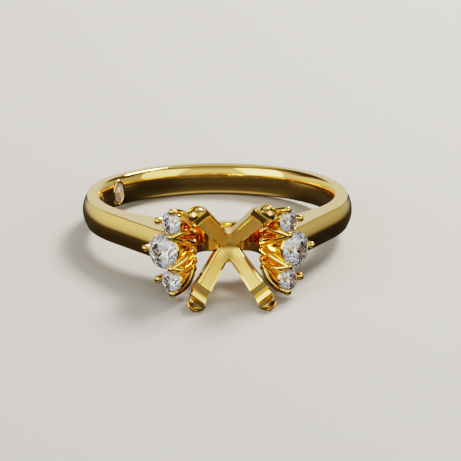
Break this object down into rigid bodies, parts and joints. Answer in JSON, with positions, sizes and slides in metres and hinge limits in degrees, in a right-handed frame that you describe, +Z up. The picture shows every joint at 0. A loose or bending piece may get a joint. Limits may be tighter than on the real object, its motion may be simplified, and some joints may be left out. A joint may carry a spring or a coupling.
{
  "type": "ring setting",
  "caption": "Polished gold finger ring with open crossed claws for a large stone, clusters of small round cut stones at the shoulders and a pointed stone inside the band.",
  "frame": {"origin": "centre of the finger hole, on its axis, half way through the band's width", "axes": "the ring lies on its side as it rests: +Z up, about 6 degrees off the finger hole's axis; -Y towards the claws, so +Y to the back of the band; +X to the right-hand cluster as seen from the claws' side"},
  "size_m": [0.0202, 0.027, 0.0078],
  "materials": {
    "gold": "mirror-polished 14 k yellow gold",
    "round_stones": "colourless round brilliant cut, polished",
    "inside_stone": "colourless pointed cut, polished"
  },
  "bodies": {
    "root": {"mounting": "gold", "stone_right_middle": "round_stones", "stone_left_middle": "round_stones", "stone_right_upper": "round_stones", "stone_left_upper": "round_stones", "stone_right_lower": "round_stones", "stone_left_lower": "round_stones", "stone_inside": "inside_stone"}
  },
  "joints": []
}
